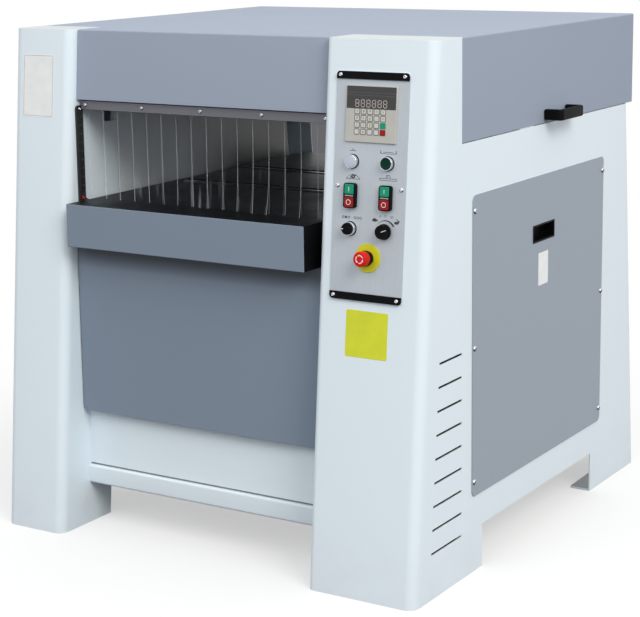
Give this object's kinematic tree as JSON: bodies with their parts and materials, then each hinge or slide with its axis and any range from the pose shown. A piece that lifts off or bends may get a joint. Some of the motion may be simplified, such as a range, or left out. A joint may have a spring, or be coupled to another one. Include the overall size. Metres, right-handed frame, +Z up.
{
  "type": "thickness planer",
  "caption": "Floor-standing thickness planer for boards: folded-sheet cabinet with a lifting hood, cutter head, rising table, feed curtain and operator panel.",
  "frame": {"origin": "on the floor at the centre of the four anchor holes", "axes": "+X to the operator's right, +Y along the feed from the infeed mouth to the outfeed side, +Z up"},
  "size_m": [1.1625, 1.202, 1.174],
  "materials": {
    "cabinet_white": "satin powder coat, cool white",
    "hood_grey": "satin powder coat, mid grey",
    "skirt_grey": "satin powder coat, blue grey",
    "panel_silver": "matt printed face plate",
    "black_plastic": "fine grained moulding",
    "counter_grey": "light grey moulding",
    "window_dark": "smoked display window",
    "bezel_chrome": "bright plated ring",
    "lamp_white": "milky lens",
    "button_green": "moulded in colour",
    "button_red": "moulded in colour",
    "stop_yellow": "printed plate",
    "scale_black": "black scale strip",
    "clamp_aluminium": "brushed bar",
    "strip_clear": "clear flexible strip",
    "pointer_red": "red pointer",
    "bare_steel": "ground steel",
    "frame_iron": "primed plate",
    "table_iron": "planed cast iron",
    "bearing_steel": "turned housings",
    "motor_grey": "painted cast housing",
    "belt_rubber": "ribbed belt",
    "chain_steel": "oiled chain"
  },
  "bodies": {
    "cabinet": {"left_side_panel": "cabinet_white", "right_side_panel": "cabinet_white", "front_cross_panel": "cabinet_white", "rear_panel": "cabinet_white", "base_plate": "frame_iron", "side_covers": "hood_grey", "door_grip_cup": "black_plastic", "control_panel_plate": "panel_silver", "counter_housing": "counter_grey", "counter_window": "window_dark", "panel_bezels": "bezel_chrome", "pilot_lens": "lamp_white", "button_frames": "black_plastic", "stop_disc": "stop_yellow", "thickness_scale": "scale_black", "curtain_bars": "clamp_aluminium", "curtain_strips": "strip_clear", "head_frame_left": "frame_iron", "head_frame_right": "frame_iron", "shaft_bearings": "bearing_steel", "main_motor": "motor_grey", "drive_belt": "belt_rubber", "gear_motors": "motor_grey", "roller_chains": "chain_steel", "head_crossbars": "bare_steel", "pillar_guides": "frame_iron", "frame_hinge_leaves": "bare_steel"},
    "hood": {"hood_shell": "hood_grey", "dust_outlet": "hood_grey", "chip_deflector": "hood_grey", "hood_handle": "black_plastic", "hood_hinge_leaves": "bare_steel"},
    "table": {"table_casting": "table_iron", "table_apron": "skirt_grey", "table_skirt": "skirt_grey", "scale_pointer": "pointer_red", "table_pillars": "bare_steel"},
    "bed_roller_front": {"bed_roller_front": "bare_steel"},
    "bed_roller_rear": {"bed_roller_rear": "bare_steel"},
    "lift_screw_left": {"lift_screw_left": "bare_steel"},
    "lift_screw_right": {"lift_screw_right": "bare_steel"},
    "lift_drive": {"lift_sprocket": "chain_steel"},
    "cutterblock": {"cutterblock": "bare_steel", "cutter_knives": "bare_steel", "knife_wedges": "bare_steel", "cutter_pulley": "bare_steel"},
    "motor_rotor": {"motor_pulley": "bare_steel"},
    "infeed_roller": {"infeed_roller": "bare_steel"},
    "outfeed_roller": {"outfeed_roller": "bare_steel"},
    "feed_drive": {"feed_sprocket": "chain_steel"},
    "chip_breaker": {"chip_breaker": "table_iron"},
    "kickback_fingers": {"kickback_fingers": "bare_steel"},
    "start_button": {"start_button": "button_green"},
    "on_button_left": {"on_button_left": "button_green"},
    "off_button_left": {"off_button_left": "button_red"},
    "on_button_right": {"on_button_right": "button_green"},
    "off_button_right": {"off_button_right": "button_red"},
    "selector_knob": {"selector_knob": "black_plastic"},
    "speed_knob": {"speed_knob": "black_plastic"},
    "stop_mushroom": {"stop_mushroom": "button_red"}
  },
  "joints": [
    {"name": "hood_hinge", "type": "hinge", "parent": "cabinet", "child": "hood", "pos_m": [0, 0.5415, 0.944], "axis": [-1, 0, 0], "range_deg": [0, 70]},
    {"name": "table_lift", "type": "slide", "parent": "cabinet", "child": "table", "axis": [0, 0, 1], "range_m": [-0.048, 0.196], "deforming": ["curtain_strips"]},
    {"name": "bed_roller_front_spin", "type": "hinge", "parent": "table", "child": "bed_roller_front", "pos_m": [-0.045, -0.13, 0.7593], "axis": [1, 0, 0], "continuous": true},
    {"name": "bed_roller_rear_spin", "type": "hinge", "parent": "table", "child": "bed_roller_rear", "pos_m": [-0.045, 0.13, 0.7593], "axis": [1, 0, 0], "continuous": true},
    {"name": "lift_screw_left_turn", "type": "hinge", "parent": "cabinet", "child": "lift_screw_left", "pos_m": [-0.255, 0, 0.2], "axis": [0, 0, 1], "continuous": true},
    {"name": "lift_screw_right_turn", "type": "hinge", "parent": "cabinet", "child": "lift_screw_right", "pos_m": [0.165, 0, 0.2], "axis": [0, 0, 1], "continuous": true},
    {"name": "lift_drive_turn", "type": "hinge", "parent": "cabinet", "child": "lift_drive", "pos_m": [-0.045, -0.23, 0.1], "axis": [0, 0, 1], "continuous": true},
    {"name": "cutter_spin", "type": "hinge", "parent": "cabinet", "child": "cutterblock", "pos_m": [-0.045, 0, 1.0485], "axis": [-1, 0, 0], "continuous": true},
    {"name": "motor_spin", "type": "hinge", "parent": "cabinet", "child": "motor_rotor", "pos_m": [0.3, 0.28, 0.33], "axis": [-1, 0, 0], "continuous": true},
    {"name": "infeed_spin", "type": "hinge", "parent": "cabinet", "child": "infeed_roller", "pos_m": [-0.045, -0.13, 1.028], "axis": [1, 0, 0], "continuous": true},
    {"name": "outfeed_spin", "type": "hinge", "parent": "cabinet", "child": "outfeed_roller", "pos_m": [-0.045, 0.13, 1.028], "axis": [1, 0, 0], "continuous": true},
    {"name": "feed_drive_spin", "type": "hinge", "parent": "cabinet", "child": "feed_drive", "pos_m": [-0.45, 0, 0.76], "axis": [1, 0, 0], "continuous": true},
    {"name": "chip_breaker_swing", "type": "hinge", "parent": "cabinet", "child": "chip_breaker", "pos_m": [-0.045, 0, 1.0485], "axis": [-1, 0, 0], "range_deg": [0, 8]},
    {"name": "kickback_swing", "type": "hinge", "parent": "cabinet", "child": "kickback_fingers", "pos_m": [-0.045, -0.26, 1.075], "axis": [1, 0, 0], "range_deg": [0, 45]},
    {"name": "start_press", "type": "slide", "parent": "cabinet", "child": "start_button", "axis": [0, 0.996, -0.0896], "range_m": [0, 0.004], "stiffness_N_per_m": 400, "springref_m": -0.004},
    {"name": "left_on_press", "type": "slide", "parent": "cabinet", "child": "on_button_left", "axis": [0, 0.996, -0.0896], "range_m": [0, 0.003], "stiffness_N_per_m": 400, "springref_m": -0.004},
    {"name": "left_off_press", "type": "slide", "parent": "cabinet", "child": "off_button_left", "axis": [0, 0.996, -0.0896], "range_m": [0, 0.003], "stiffness_N_per_m": 400, "springref_m": -0.004},
    {"name": "right_on_press", "type": "slide", "parent": "cabinet", "child": "on_button_right", "axis": [0, 0.996, -0.0896], "range_m": [0, 0.003], "stiffness_N_per_m": 400, "springref_m": -0.004},
    {"name": "right_off_press", "type": "slide", "parent": "cabinet", "child": "off_button_right", "axis": [0, 0.996, -0.0896], "range_m": [0, 0.003], "stiffness_N_per_m": 400, "springref_m": -0.004},
    {"name": "selector_turn", "type": "hinge", "parent": "cabinet", "child": "selector_knob", "pos_m": [0.372, -0.53052, 0.78316], "axis": [0, -0.996, 0.0896], "range_deg": [-45, 45]},
    {"name": "speed_turn", "type": "hinge", "parent": "cabinet", "child": "speed_knob", "pos_m": [0.456, -0.53052, 0.78316], "axis": [0, -0.996, 0.0896], "range_deg": [-135, 135]},
    {"name": "stop_press", "type": "slide", "parent": "cabinet", "child": "stop_mushroom", "axis": [0, 0.996, -0.0896], "range_m": [0, 0.005], "stiffness_N_per_m": 800, "springref_m": -0.005}
  ],
  "couplings": [
    {"joint": "lift_screw_left_turn", "follows": "table_lift", "rad_per_m": -1047.2},
    {"joint": "lift_screw_right_turn", "follows": "table_lift", "rad_per_m": -1047.2},
    {"joint": "lift_drive_turn", "follows": "table_lift", "rad_per_m": -1611.1},
    {"joint": "motor_spin", "follows": "cutter_spin", "ratio": 0.64286},
    {"joint": "outfeed_spin", "follows": "infeed_spin", "ratio": 1},
    {"joint": "feed_drive_spin", "follows": "infeed_spin", "ratio": 1.1875}
  ]
}
